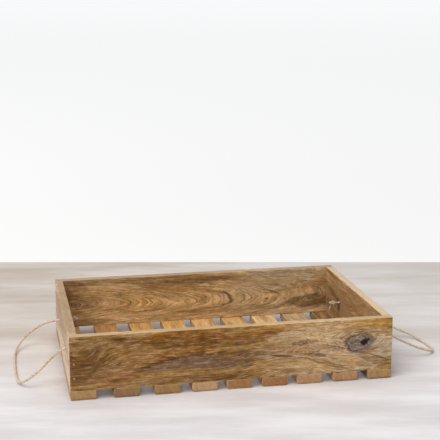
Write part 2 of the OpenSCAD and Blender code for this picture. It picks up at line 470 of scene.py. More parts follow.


# Marks: (colour, along, across, length, height, strength, slant, bow)
FRONT_STAINS = stains(
    # A pale wash over the right half
    (rgb(212, 184, 152), 116, 42, 100, 44, 0.55),
    # The dark left end
    (rgb(96, 62, 20), -182, 42, 44, 22, 0.7),
    (RUST, -189, 50, 8, 3.0, 0.55),
    (UMBER, -172, 45, 20, 6, 0.55, 0.05),
    (rgb(166, 122, 80), -138, 36, 50, 15, 0.45, 0.35),
    (rgb(124, 94, 54), -150, 68, 56, 12, 0.6),
    (UMBER, -140, 72.5, 13, 2.6, 0.85, -0.04),
    (RUST, -116, 68, 17, 3.0, 0.7, 0.03),
    # The amber band under the top edge, and the wood below it
    (rgb(122, 74, 4), -60, 68, 56, 13, 0.72, 0.02),
    (AMBER, -76, 73, 44, 6.5, 0.85, 0.06),
    (UMBER, -74, 69, 36, 3.2, 0.55, 0.10),
    (rgb(122, 88, 40), -84, 63.5, 28, 4.0, 0.65, 0.22),
    (UMBER, -70, 61, 24, 2.4, 0.7, 0.14),
    (AMBER, -40, 73, 30, 5.5, 0.8, 0.04),
    (rgb(104, 60, 0), -36, 61, 15, 15, 0.7),
    (rgb(100, 62, 14), -39, 63, 4, 14, 0.5),
    (rgb(108, 68, 14), -28, 64, 4, 12, 0.45),
    (RUST, -84, 50, 13, 4.5, 0.65, 0.05),
    (rgb(160, 108, 48), -60, 53, 30, 6, 0.6, 0.12),
    (GOLD, -14, 45, 26, 8, 0.75, -0.30),
    (TAN, -10, 57, 18, 8, 0.45, 0.05),
    # The grey heartwood lens: its rim, its body, and dark lines that arch over it
    (rgb(78, 50, 14), -38, 34.6, 77, 9.6, 0.9, 0.0, 5.4),
    (rgb(124, 100, 78), -38, 34.0, 70, 8.4, 0.9, 0.0, 4.8),
    (SMOKE, -93, 34.4, 21, 4.4, 0.85, 0.10),
    (rgb(140, 114, 92), -74, 36.0, 22, 2.2, 0.45, 0.04),
    (rgb(132, 106, 88), -30, 40.0, 30, 2.6, 0.45, -0.04),
    (rgb(80, 54, 24), -97, 38.0, 17, 0.9, 0.8, 0.28),
    (rgb(80, 54, 24), -66, 44.2, 22, 0.6, 0.7, 0.08),
    (rgb(86, 58, 22), -34, 46.4, 18, 0.8, 0.7, -0.04),
    (rgb(96, 66, 22), -12, 41.0, 15, 0.9, 0.7, -0.26),
    (UMBER, -115, 33, 12, 2.8, 0.75, 0.25),
    # Pale and dark bands below the lens
    (rgb(184, 142, 80), -50, 24.5, 84, 2.6, 0.65),
    (UMBER, -38, 18, 78, 4.2, 0.55, -0.01),
    (rgb(126, 104, 46), -66, 16, 34, 1.8, 0.6),
    (rgb(140, 106, 84), -30, 20.5, 44, 1.2, 0.6),
    (rgb(190, 148, 92), 10, 25.5, 44, 3.0, 0.6),
    (rgb(176, 138, 90), -112, 18, 42, 6, 0.5, 0.06),
    (UMBER, -146, 22, 12, 2.0, 0.45, 0.1),
    # The middle: golden under the top edge, with smoky cores below
    (GOLD, 60, 76, 120, 4.0, 0.5),
    (AMBER, 20, 68, 52, 3.0, 0.75, 0.07),
    (BROWN, 14, 61, 30, 4.6, 0.6, 0.05),
    (rgb(150, 108, 42), 44, 52, 46, 4.4, 0.6, -0.04),
    (UMBER, 20, 45, 34, 3.2, 0.8, -0.05),
    (SMOKE, 10, 45.5, 14, 3.0, 0.8),
    (rgb(146, 106, 40), 4, 39.5, 26, 3.0, 0.6, -0.1),
    (SMOKE, 4, 33.5, 28, 5.2, 0.8, -0.04),
    (rgb(148, 106, 40), 32, 31.5, 14, 4.4, 0.65, -0.1),
    (UMBER, 60, 38.5, 18, 1.8, 0.9, -0.12),
    (rgb(186, 146, 88), 52, 30, 34, 6, 0.5, -0.05),
    # Over and round the curly figure
    (rgb(192, 160, 116), 100, 60, 52, 15, 0.6, 0.06),
    (BROWN, 86, 54, 20, 3.0, 0.6, 0.05),
    (rgb(150, 110, 48), 84, 42, 22, 4.0, 0.6, -0.06),
    (UMBER, 102, 37, 14, 3.4, 0.65, -0.12),
    (BROWN, 122, 45, 16, 4.0, 0.5, -0.2),
    (SAND, 92, 25, 66, 10.0, 0.65, -0.05),
    (BROWN, 66, 19, 24, 2.6, 0.65, -0.15),
    (BROWN, 104, 28, 26, 1.6, 0.6, -0.35),
    (BROWN, 128, 22, 24, 1.8, 0.6, -0.40),
    # Round the knot, and the right end
    (GOLD, 172, 72, 34, 6.0, 0.7, -0.03),
    (BROWN, 150, 66, 20, 3.4, 0.6, -0.1),
    (BROWN, 140, 60, 9, 5.0, 0.45, 0.5),
    (rgb(190, 148, 78), 122, 68, 26, 2.2, 0.45, 0.10),
    (BROWN, 178, 61, 26, 2.4, 0.7, -0.05),
    (rgb(190, 146, 78), 150, 26, 26, 3.2, 0.6, -0.55),
    (SMOKE, 163, 20, 11, 7.0, 0.4, -0.3),
    (rgb(128, 98, 56), 180, 24, 22, 5.5, 0.75, -0.30),
    (UMBER, 184, 29, 18, 1.4, 0.75, -0.35),
    (ASH, 188, 47, 18, 9.0, 0.75, -0.1),
    (ASH, 190, 34, 16, 5.0, 0.6, -0.2),
    (RUST, 168, 37, 12, 3.0, 0.6, 0.35),
    (rgb(108, 78, 60), 167, 52, 12, 6.6, 0.8, 0.05),
    # A thin warm glaze over the left half
    (rgb(116, 70, 0), -88, 46, 190, 60, 0.28),
)
FRONT_SWELLS = (
    Swell(-38, 36, 62, 15, 9),
    Swell(-186, 44, 44, 22, 17),
    Swell(155, 49, 36, 20, 5, 17),
    Swell(70, 20, 56, 15, -12),
)
BOARD_KNOT = Knot(155, 49, 16.5, 11.5, 9.0)

BACK_STAINS_AND_SHADE = stains(
    # The left half, from its end to the middle; the first mark is painted shade in the upper left corner,
    # next to the left end board
    (rgb(108, 76, 40), -184, 66, 32, 16, 0.6),
    (rgb(136, 102, 62), -172, 50, 40, 15, 0.45),
    (SAND, -146, 60, 30, 8.5, 0.5, -0.02),
    (rgb(134, 98, 66), -164, 44, 18, 6.5, 0.5, -0.05),
    (SMOKE, -140, 74, 50, 4.5, 0.5),
    (rgb(160, 132, 88), -98, 55, 24, 9.0, 0.5),
    (rgb(204, 162, 98), -86, 44, 36, 13, 0.5),
    (rgb(150, 102, 54), -70, 64, 13, 12, 0.35),
    (rgb(132, 98, 62), -58, 61, 22, 8, 0.4, -0.1),
    (rgb(128, 98, 64), -30, 71, 90, 8.5, 0.6, -0.01),
    (rgb(164, 116, 62), -22, 60, 44, 5.0, 0.45, -0.05),
    # The right half, which is paler and greyer
    (rgb(112, 82, 50), 42, 71, 28, 4.5, 0.5),
    (rgb(158, 106, 56), 66, 62, 24, 3.0, 0.45, -0.04),
    (rgb(178, 156, 126), 112, 44, 92, 40, 0.4),
    (ASH, 128, 71, 78, 10.0, 0.6),
    (rgb(194, 162, 122), 104, 60, 50, 5.0, 0.55),
    (SMOKE, 100, 58, 40, 1.8, 0.5),
    (ASH, 104, 54, 60, 4.4, 0.55),
    (UMBER, 118, 48, 22, 1.6, 0.5, 0.15),
    (rgb(188, 150, 98), 142, 49, 44, 7.0, 0.45, 0.18),
    (SAND, 92, 37, 34, 5.0, 0.5, 0.05),
    (rgb(108, 82, 52), 166, 30, 36, 11.0, 0.75),
    # Smaller marks, and painted shade in the right-hand corner
    (rgb(108, 80, 54), -4, 70, 60, 4.0, 0.45),
    (rgb(120, 86, 44), -160, 18, 44, 5.0, 0.5),
    (rgb(160, 110, 62), 172, 54, 22, 7.0, 0.45, 0.25),
    (rgb(108, 76, 40), 190, 44, 15, 26, 0.3),
    (rgb(108, 76, 40), 190, 36, 30, 20, 0.3),
    (SOOT, 101, 37, 3.2, 1.8, 0.8),
    (rgb(126, 98, 68), 60, 25, 100, 5.0, 0.5),
)

RIGHT_STAINS_AND_SHADOW = stains(
    (rgb(124, 92, 58), 60, 40, 90, 26, 0.55, 0.1),
    (rgb(160, 122, 80), -40, 66, 90, 12, 0.5, 0.06),
    (RUST, 10, 58, 50, 7, 0.35, 0.1),
    # Painted shadow of the cord's knot on the wall, just behind and below the back hole
    (rgb(92, 62, 34), 60, 42, 10, 9, 0.7, 0.3),
    (rgb(98, 70, 42), 84, 50, 22, 5, 0.6, 0.2),
    (SMOKE, 104, 26, 30, 10, 0.5),
)
LEFT_MARKS_AND_REFLECTION = stains(
    (rgb(150, 118, 84), 10, 68, 120, 12, 0.5, -0.03),
    # A painted reflection: grey in the middle of the face and pale low down
    (ASH, 10, 46, 130, 12, 0.65, -0.05),
    (rgb(232, 214, 194), -40, 18, 150, 24, 0.6),
    (TAN, -60, 33, 70, 2.4, 0.45, -0.04),
)
END_SWELLS = (Swell(40, 50, 60, 20, 8),)

PLAIN_LOOK = Look(
    tones=FRONT_TONES, end_tones=END_TONES, swells=(), pith=None, stains=(), knots=(), curl=None, edge=None,
    contrast=1.0, lift=1.2, rings=0.25, dark=0.42, golden=0.40,
)
FRONT_LOOK = PLAIN_LOOK._replace(
    swells=FRONT_SWELLS, stains=FRONT_STAINS, knots=(BOARD_KNOT,), curl=(100, 50, 50, 24),
    edge=rgb(224, 194, 156), contrast=1.2, lift=1.15, golden=0.58,
)
BACK_LOOK = PLAIN_LOOK._replace(
    tones=BACK_TONES, pith=Pith(42, 27.0, 0.085), stains=BACK_STAINS_AND_SHADE, edge=rgb(176, 154, 134),
    lift=1.26, rings=0.8, dark=0.26, golden=0.16,
)
LEFT_LOOK = PLAIN_LOOK._replace(
    tones=LEFT_TONES_AND_SHEEN, swells=END_SWELLS, stains=LEFT_MARKS_AND_REFLECTION, edge=rgb(168, 138, 108), contrast=0.65,
)
RIGHT_LOOK = PLAIN_LOOK._replace(
    tones=RIGHT_TONES, swells=END_SWELLS, stains=RIGHT_STAINS_AND_SHADOW, edge=rgb(236, 214, 184), contrast=0.65,
)

# ---- planks

# A recess is let into a square patch of a plank, of the given half side and count of grid steps.
# sides holds "low", "high" or both, and rings are (radius, depth).
Recess = namedtuple("Recess", "axis sides centre half count rings")

EDGE_LINES = (0.0, 0.3, 0.8, 1.6, 2.7, 4.0)
LINE_STEP = 3.0
WAVE_COUNT = 9
CHIP_DEPTH = 3.0
WANDER = 0.09
SHARP = 0.05
WELD_REACH = 0.01
BRAD_RINGS = ((1.5, 0.0), (1.3, 0.12), (1.18, 0.5))
CORD_HOLE_RINGS = ((3.4, 0.0), (3.0, 0.12), (2.68, 0.5), (2.5, 1.2))
KNOT_RISE = 0.132
HEART_DEPTH = 1.1


def grid_lines(low, high, marks):
    """Positions of grid lines along one side: dense at both ends and across each mark (from, to, count)."""
    fixed = [low + e for e in EDGE_LINES] + [high - e for e in EDGE_LINES]
    for start, stop, count in marks:
        fixed += list(np.linspace(start, stop, count + 1))
    fixed = sorted(fixed)
    fixed = [fixed[0]] + [b for a, b in zip(fixed, fixed[1:]) if b - a > 0.02]
    lines = []
    for a, b in zip(fixed, fixed[1:]):
        lines += list(np.linspace(a, b, max(1, math.ceil((b - a) / LINE_STEP)) + 1)[:-1])
    return np.array(lines + [fixed[-1]])


def smooth_noise(points, size, seed):
    """Slow noise from about -1 to 1 at each point, size millimetres across: waves in all directions."""
    rng = np.random.default_rng(seed)
    total = np.zeros(len(points))
    for _ in range(WAVE_COUNT):
        way = rng.normal(size=3)
        way *= rng.uniform(0.6, 1.6) * math.pi / (size * np.linalg.norm(way))
        total += np.sin(points @ way + rng.uniform(0, 2 * math.pi))
    return total * (0.85 / math.sqrt(WAVE_COUNT))


def round_off(points, low, high, radius, axes=(0, 1, 2)):
    """Pulls the points near a box's edges in to a rounding of the given radius."""
    core = np.clip(points, low + radius[:, None], high - radius[:, None])
    out = np.zeros_like(points)
    for axis in axes:
        out[:, axis] = points[:, axis] - core[:, axis]
    reach = np.linalg.norm(out, axis=1)
    over = reach > radius
    points[over] -= out[over] * (1 - radius[over] / reach[over])[:, None]


def block_edge(sheet, first, last):
    """The loop of vertices round a block of a sheet, and nothing inside it."""
    (i0, j0), (i1, j1) = first, last
    loop = [sheet[i, j0] for i in range(i0, i1)]
    loop += [sheet[i1, j] for j in range(j0, j1)]
    loop += [sheet[i, j1] for i in range(i1, i0, -1)]
    loop += [sheet[i0, j] for j in range(j1, j0, -1)]
    return loop


def make_mesh(name, points, faces, material, smooth=True):
    mesh = bpy.data.meshes.new(name)
    mesh.from_pydata([tuple(p) for p in np.asarray(points) * MM], [], faces)
    mesh.validate()
    mesh.update()
    if smooth:
        mesh.shade_smooth()
    piece = bpy.data.objects.new(name, mesh)
    bpy.context.scene.collection.objects.link(piece)
    piece.data.materials.append(material)
    return piece


def plank_grid(low, high, recesses, marks):
    """Grid lines of a box, the vertices on its surface, and the number of the vertex at each grid place."""
    spans = [[m[1:] for m in marks if m[0] == axis] for axis in range(3)]
    for r in recesses:
        for axis, centre in zip([a for a in range(3) if a != r.axis], r.centre):
            spans[axis].append((centre - r.half, centre + r.half, r.count))
    lines = [grid_lines(low[a], high[a], spans[a]) for a in range(3)]
    outer = np.zeros([len(line) for line in lines], bool)
    for axis in range(3):
        side = np.moveaxis(outer, axis, 0)
        side[0] = side[-1] = True
    index = np.full(outer.shape, -1)
    index[outer] = np.arange(outer.sum())
    where = np.argwhere(outer)
    points = np.stack([lines[a][where[:, a]] for a in range(3)], axis=1)
    return lines, points, index


def ease_edges(points, low, high, seed, easing, lower_easing):
    """An uneven rounding, deeper along the lower edges if asked, with a chip here and there."""
    uneven = smooth_noise(points, 26, seed)
    chips = np.clip(smooth_noise(points, 7, seed + 1) - 0.38, 0, 1)
    radius = easing * (1 + 0.45 * uneven) + CHIP_DEPTH * chips
    if lower_easing:
        lower_half = points[:, 2] < (low[2] + high[2]) / 2
        for axis, worn in ((0, lower_easing), (1, 0.6 * lower_easing)):
            rounding = np.where(lower_half, worn + 0.3 * uneven, SHARP)
            round_off(points, low, high, rounding, axes=(axis, 2))
    round_off(points, low, high, radius)


def plank_faces(lines, points, index, recesses, low, high):
    """The faces of the grid on all six sides, open at each recess, and the faces of the recesses."""
    faces = []
    for axis in range(3):
        others = [a for a in range(3) if a != axis]
        for side in ("low", "high"):
            sheet = np.take(index, 0 if side == "low" else -1, axis=axis)
            open_quads = np.zeros((sheet.shape[0] - 1, sheet.shape[1] - 1), bool)
            turn = (side == "high") == (axis == 1)
            for r in recesses:
                if r.axis != axis or side not in r.sides:
                    continue
                first = [np.abs(lines[a] - (c - r.half)).argmin() for a, c in zip(others, r.centre)]
                last = [np.abs(lines[a] - (c + r.half)).argmin() for a, c in zip(others, r.centre)]
                open_quads[first[0]:last[0], first[1]:last[1]] = True
                loop = block_edge(sheet, first, last)
                faces += recess_faces(points, loop, r, others, side, turn, low, high)
            corners = [sheet[:-1, :-1], sheet[1:, :-1], sheet[1:, 1:], sheet[:-1, 1:]]
            quads = np.stack(corners, axis=-1)[~open_quads]
            faces += [tuple(q[::-1] if turn else q) for q in quads.tolist()]
    return faces


def plank(name, box, material, seed, recesses=(), marks=(), easing=0.9, lower_easing=None, carve=None):
    """A sawn board with worn, uneven edges. marks are extra dense stretches (axis, from, to, count)."""
    low, high = box
    lines, points, index = plank_grid(low, high, recesses, marks)
    ease_edges(points, low, high, seed, easing, lower_easing)
    points = list(points)
    faces = plank_faces(lines, points, index, recesses, low, high)
    points = np.array(points)
    if carve:
        carve(points)
    # No board is quite flat
    for axis in range(3):
        points[:, axis] += WANDER * smooth_noise(points, 38, seed + 3 + axis)
    points[:, 2] = np.maximum(points[:, 2], TABLE_GAP / 2)
    return make_mesh(name, points, faces, material)


def recess_faces(points, loop, recess, others, side, turn, low, high):
    """Adds a recess's rings of vertices and returns its faces. One through both sides meets half way."""
    axis = recess.axis
    through = len(recess.sides) == 2
    surface, inward = (low[axis], 1) if side == "low" else (high[axis], -1)
    rings = list(recess.rings)
    if through:
        rings.append((rings[-1][0], (high[axis] - low[axis]) / 2))
    corners = np.array([[points[i][a] for a in others] for i in loop]) - recess.centre
    angles = np.arctan2(corners[:, 1], corners[:, 0])
    # The first ring, with no radius of its own, eases the square patch into the round recess
    faces, outer = [], loop
    for radius, depth in [(None, 0.0)] + rings:
        ring = []
        for corner, angle in zip(corners, angles):
            flat = np.array([math.cos(angle), math.sin(angle)]) * (radius or rings[0][0] + 0.6)
            if radius is None:
                flat = 0.45 * corner + 0.55 * flat
            point = np.zeros(3)
            point[axis] = surface + inward * depth
            point[others[0]] = recess.centre[0] + flat[0]
            point[others[1]] = recess.centre[1] + flat[1]
            points.append(point)
            ring.append(len(points) - 1)
        for k in range(len(loop)):
            after = (k + 1) % len(loop)
            quad = (outer[k], outer[after], ring[after], ring[k])
            faces.append(quad[::-1] if turn else quad)
        outer = ring
    if not through:
        points.append(np.mean([points[i] for i in outer], axis=0))
        middle = len(points) - 1
        for k in range(len(loop)):
            tri = (outer[k], outer[(k + 1) % len(loop)], middle)
            faces.append(tri[::-1] if turn else tri)
    return faces


def weld(piece):
    """Joins the vertices where the two halves of a through hole meet."""
    modifier = piece.modifiers.new("weld", "WELD")
    modifier.merge_threshold = WELD_REACH * MM
    bpy.context.view_layer.update()
    evaluated = piece.evaluated_get(bpy.context.evaluated_depsgraph_get())
    mesh = bpy.data.meshes.new_from_object(evaluated)
    piece.modifiers.clear()
    piece.data = mesh


def stand_for(piece, node):
    """Puts a piece in the place of its CAD node, fixed to the tray."""
    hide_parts(node)
    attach(piece, "tray")


def brad_recess(axis, side, centre):
    return Recess(axis, (side,), centre, half=1.9, count=6, rings=BRAD_RINGS)


def cord_recess(y):
    return Recess(0, ("low", "high"), (y, HOLE_Z), half=4.6, count=12, rings=CORD_HOLE_RINGS)


def brad_places(node, axis, side):
    """Centres of the brad heads in a group of brads that show on one side, found from the CAD solids."""
    others = [a for a in range(3) if a != axis]
    co = np.array([v.co for v in frame["nodes"][node].data.vertices]) / MM
    face = co[:, axis].min() if side == "low" else co[:, axis].max()
    tops = co[np.abs(co[:, axis] - face) < 0.05][:, others]
    groups = []
    for p in tops:
        for g in groups:
            if np.linalg.norm(np.array(g[0]) - p) < 3.0:
                g.append(p)
                break
        else:
            groups.append([p])
    return [tuple((np.min(g, axis=0) + np.max(g, axis=0)) / 2) for g in groups]


def knot_pit(points):
    """The knot in the front board stands a little proud, and its heart has shrunk below the face."""
    k = BOARD_KNOT
    on_face = points[:, 1] < FRONT_LOW[1] + 0.5
    far = np.hypot((points[:, 0] - k.along) / k.length, (points[:, 2] - k.across) / k.height)
    swell = KNOT_RISE * np.exp(-(((far - 0.95) / 0.22) ** 2))
    heart_x = (points[:, 0] - k.along - k.heart) / 4.2
    heart_z = (points[:, 2] - k.across - 2.0) / 3.6
    pit = HEART_DEPTH * np.exp(-(heart_x ** 2 + heart_z ** 2))
    points[:, 1] += np.where(on_face, pit - swell, 0)


def build_long_boards():
    """The front and back boards, which cap the end boards."""
    k = BOARD_KNOT
    dense = [(0, k.along - 20, k.along + 24, 32), (2, k.across - 13, k.across + 13, 18)]
    boards = (
        ("front", (FRONT_LOW, FRONT_HIGH), "low", FRONT_LOOK, 3, 1, dense, knot_pit),
        ("back", (BACK_LOW, BACK_HIGH), "high", BACK_LOOK, 9, 2, (), None),
    )
    for side, box, brad_side, look, grain_seed, edge_seed, marks, carve in boards:
        node = side + "_board"
        material = wood(node + "_mango", "xzy", box, box[0][1], grain_seed, look)
        brads = [brad_recess(1, brad_side, c) for c in brad_places("corner_brads", 1, brad_side)]
        piece = plank(node + "_wood", box, material, edge_seed, brads, marks, carve=carve)
        stand_for(piece, node)


def build_end_boards():
    """The left and right end boards, each with two cord holes."""
    for side, look, grain_seed, edge_seed in (("left", LEFT_LOOK, 14, 5), ("right", RIGHT_LOOK, 19, 7)):
        node = side + "_end_board"
        box = node_box(node)
        material = wood(node + "_mango", "yzx", box, box[0][0], grain_seed, look)
        holes = [cord_recess(hole_y(f"{side}_{end}_knot")) for end in ("front", "back")]
        piece = plank(side + "_end_wood", box, material, edge_seed, holes)
        weld(piece)
        stand_for(piece, node)


# ---- slats

# From the darkest grain to the palest, and then the sawn ends
SLAT_TONES = (
    tones((134, 96, 56), (170, 124, 72), (200, 152, 94), (216, 174, 118), (228, 194, 146)),
    tones((116, 78, 46), (152, 106, 64), (178, 130, 82), (196, 152, 104), (212, 176, 132)),
    tones((122, 86, 46), (158, 116, 62), (192, 146, 86), (208, 166, 106), (222, 188, 136)),
    tones((143, 105, 60), (182, 138, 78), (210, 165, 98), (222, 182, 120), (230, 200, 148)),
    tones((136, 96, 54), (178, 132, 76), (212, 164, 104), (228, 184, 124), (238, 202, 150)),
    tones((127, 92, 52), (169, 126, 76), (201, 158, 102), (216, 180, 124), (226, 198, 148)),
    tones((150, 118, 78), (196, 158, 110), (230, 192, 142), (242, 210, 166), (250, 226, 190)),
    tones((122, 93, 62), (160, 128, 90), (190, 158, 119), (204, 180, 146), (214, 198, 170)),
    tones((84, 62, 34), (112, 84, 48), (138, 106, 62), (160, 128, 80), (180, 148, 100)),
)
SLAT_ENDS = tones(
    (170, 133, 90), (141, 110, 75), (158, 120, 77), (186, 150, 113), (153, 111, 71),
    (157, 108, 70), (174, 133, 100), (176, 131, 91), (171, 135, 94),
)
SLAT_LOOK = PLAIN_LOOK._replace(contrast=0.42, lift=1.03)
CRACKED_SLAT = 4
CRACK_SHARE = 0.21
CRACK_LENGTH = 14.0
CRACK_NOTCH = 1.6
CRACK_DEPTH = 0.5


def end_crack(low, high):
    """A drying crack that starts in the front end of a slat and closes along it."""
    crack_x = low[0] + CRACK_SHARE * (high[0] - low[0])

    def carve(points):
        on_crack = (np.abs(points[:, 0] - crack_x) < 0.05) & (points[:, 2] > low[2] + 1.5)
        at_end = on_crack & (points[:, 1] < low[1] + 1.0)
        points[at_end, 1] += CRACK_NOTCH
        on_top = on_crack & (points[:, 2] > high[2] - 0.5) & (points[:, 1] < low[1] + CRACK_LENGTH)
        points[on_top, 2] -= CRACK_DEPTH * (1 - (points[on_top, 1] - low[1]) / CRACK_LENGTH)

    return carve, [(0, crack_x - 0.3, crack_x + 0.3, 2)]


def build_slats():
    """The nine base slats, each from its own length of wood."""
    heads = brad_places("slat_brads", 2, "low")
    for number, (grain_tones, end_tone) in enumerate(zip(SLAT_TONES, SLAT_ENDS), start=1):
        node = f"base_slat_{number}"
        low, high = node_box(node)
        recesses = [brad_recess(2, "low", c) for c in heads if low[0] < c[0] < high[0]]
        rng = np.random.default_rng(SEED + number)
        middle = (low[0] + high[0]) / 2
        marks = [
            Stain(
                grain_tones[k % 2 * 3], rng.uniform(-110, 110), middle + rng.uniform(-12, 12),
                rng.uniform(20, 60), rng.uniform(1.5, 4.0), slant=rng.uniform(-0.04, 0.04), strength=0.28,
            )
            for k in range(4)
        ]
        swells = (Swell(rng.uniform(-90, 90), middle + rng.uniform(-8, 8), 40, 9, rng.uniform(8, 16)),)
        end_tones = [tuple(scale * c for c in end_tone) for scale in (0.9, 1.36)]
        look = SLAT_LOOK._replace(tones=grain_tones, end_tones=end_tones, swells=swells, stains=marks)
        material = wood(node + "_mango", "yxz", (low, high), high[2], 30 + 4 * number, look)
        carve, dense = end_crack(low, high) if number == CRACKED_SLAT else (None, ())
        piece = plank(
            f"slat_{number}_wood", (low, high), material, 10 + number, recesses, dense,
            easing=0.55, lower_easing=4.2, carve=carve,
        )
        stand_for(piece, node)


# ---- cords

# The lie of each loop seen square on, as in the CAD model: [share of the reach, place across the tray]
LEFT_LIE = ((0.3, 80), (0.68, 86), (0.95, 58), (1, 0), (0.94, -64), (0.62, -79), (0.28, -68))
RIGHT_LIE = ((0.32, 37), (0.64, 22), (0.9, 10), (1, -24), (0.93, -54), (0.64, -64), (0.31, -60))
SAG = {"left": 0.0, "right": 3.0}

TREFOIL_SIZE = 2.2
KNOT_TO_TIP = 8.3
KNOT_STEP = 0.8
KNOT_REACH = 10.5
KNOT_BODY = 5.5
KNOT_SAG = 1.6
KNOT_ROUNDS = 45
KNOT_TURNS = (("back", 0.35), ("front", -0.5))
SQUEEZED = 0.88
TAIL_WAY = np.array([-0.5, 0.0, -0.866])
STRAIGHTEN, PULL, PUSH = 0.35, 0.1, 0.56
TIP_FIBRES = 16
LOOSE_FIBRES = 120
FIBRE_STEPS = 4
PLY_COUNT = 2
PLY_RADIUS = 1.18
PLY_OFFSET = 0.62
PLY_SIDES = 12
PLY_PITCH = 9.5
RING_STEP = 0.75


def unit(v):
    return v / np.linalg.norm(v)


def spline(points, steps):
    """A smooth curve through the points, as the CAD model draws it."""
    p = np.array([2 * points[0] - points[1], *points, 2 * points[-1] - points[-2]])
    t = (np.arange(steps) / steps)[:, None]
    spans = []
    for a, b, c, d in zip(p, p[1:], p[2:], p[3:]):
        spans.append(0.5 * (2 * b + (c - a) * t + (2 * a - 5 * b + 4 * c - d) * t ** 2
                            + (3 * b - a - 3 * c + d) * t ** 3))
    return np.concatenate(spans + [p[-2:-1]])


def even_path(path, step):
    """The same path with its points an equal step apart."""
    run = np.concatenate([[0], np.cumsum(np.linalg.norm(np.diff(path, axis=0), axis=1))])
    places = np.linspace(0, run[-1], max(2, round(run[-1] / step)) + 1)
    return np.stack([np.interp(places, run, path[:, axis]) for axis in range(3)], axis=1)


def tight_knot():
    """Centreline of an overhand knot drawn tight, from its tail's tip to the strand that leaves along +X.

    An open trefoil shrinks like a stretched band, while strands that meet push each other apart.
    """
    t = np.linspace(-2.35, 2.35, 400)
    path = TREFOIL_SIZE * np.stack([t ** 3 - 3 * t, t ** 4 - 4 * t ** 2, t ** 5 / 5 - 2 * t], axis=1)
    first = unit(path[-1] - path[-4])
    second = unit(np.cross(first, np.cross(path[0] - path[3], first)))
    path = even_path(path @ np.stack([first, np.cross(-second, first), -second], axis=1), KNOT_STEP)
    tail_end, strand_end = KNOT_REACH * TAIL_WAY, np.array([KNOT_REACH, 0.0, 0.0])
    thick = 2 * CORD_RADIUS * SQUEEZED
    for _ in range(KNOT_ROUNDS):
        count = len(path)
        apart = np.abs(np.arange(count)[:, None] - np.arange(count)[None]) * KNOT_STEP
        free = apart > 1.45 * thick
        for _ in range(12):
            path[1:-1] += STRAIGHTEN * (path[2:] + path[:-2] - 2 * path[1:-1])
            path[0] += PULL * (tail_end - path[0])
            path[-1] += PULL * (strand_end - path[-1])
            for _ in range(2):
                gap = path[:, None] - path[None]
                far = np.linalg.norm(gap, axis=2) + 1e-9
                push = np.where(free & (far < thick), (thick - far) / far, 0.0)
                touching = np.maximum(1, (push > 0).sum(axis=1))
                path += PUSH * (gap * push[:, :, None]).sum(axis=1) / touching[:, None]
        path = even_path(path, KNOT_STEP)
    body = path[np.linalg.norm(path - path.mean(axis=0), axis=1) < KNOT_BODY]
    path = path - (body.max(axis=0) + body.min(axis=0)) / 2
    led_in = np.clip((np.linspace(0, 1, len(path))[:, None] - 0.8) / 0.2, 0, 1)
    return path - path[-1] * [0, 1, 1] * led_in - [0, 0, KNOT_SAG] * (1 - led_in)


def loop_path(side):
    """A loop from its back hole round to its front hole, in the frame of the right-hand end."""
    low, high = node_box(side + "_cord_loop")
    out = max(abs(low[0]), high[0]) - CORD_RADIUS - HINGE_X
    drop = HOLE_Z - CORD_RADIUS
    reach, droop = math.hypot(out, drop), math.atan2(drop, out)
    lie = LEFT_LIE if side == "left" else RIGHT_LIE
    lie = ((0, hole_y(side + "_back_knot")), *lie, (0, hole_y(side + "_front_knot")))
    flat = spline([np.array([share, y, 0.0]) for share, y in lie], 12)
    share = flat[:, 0] / flat[:, 0].max()
    sag = -SAG[side] * np.sin(np.pi * np.clip(share, 0, 1))
    away = share * reach
    x = HINGE_X + away * math.cos(droop) + sag * math.sin(droop)
    z = HOLE_Z - away * math.sin(droop) + sag * math.cos(droop)
    return np.stack([x, flat[:, 1], z], axis=1)


def cord_path(side, knot):
    """The whole cord: tail, knot, through the wall, round the loop, and back to the other knot."""
    inner_x = np.abs(node_box(side + "_back_knot"))[:, 0].min()
    parts = []
    for end, turn in KNOT_TURNS:
        c, s = math.cos(turn), math.sin(turn)
        spun = knot @ np.array([[1, 0, 0], [0, c, s], [0, -s, c]])
        y = hole_y(f"{side}_{end}_knot")
        placed = spun + np.array([inner_x + KNOT_TO_TIP, y, HOLE_Z])
        mouth = np.array([HINGE_X - 3.0, y, HOLE_Z])
        parts.append(np.concatenate([placed, [mouth]]))
    loop = loop_path(side)[3:-3]
    path = even_path(np.concatenate([parts[0], loop, parts[1][::-1]]), RING_STEP)
    near_hole = (np.abs(path[:, 0] - HINGE_X) < 12.0)[1:-1, None]
    for _ in range(14):
        path[1:-1] += np.where(near_hole, 0.25 * (path[2:] + path[:-2] - 2 * path[1:-1]), 0)
    path = even_path(path, RING_STEP)
    path[:, 2] = np.maximum(path[:, 2], PLY_RADIUS + PLY_OFFSET)
    if side == "left":
        path[:, 0] *= -1
    return path


def transport_frames(path):
    """Headings and two cross directions along a path, with no sudden twist."""
    heading = np.gradient(path, axis=0)
    heading /= np.linalg.norm(heading, axis=1)[:, None]
    first = np.zeros_like(path)
    normal = unit(np.cross(heading[0], [0.3, 0.2, 1.0]))
    for i, h in enumerate(heading):
        normal = unit(normal - h * (normal @ h))
        first[i] = normal
    return heading, first, np.cross(heading, first)


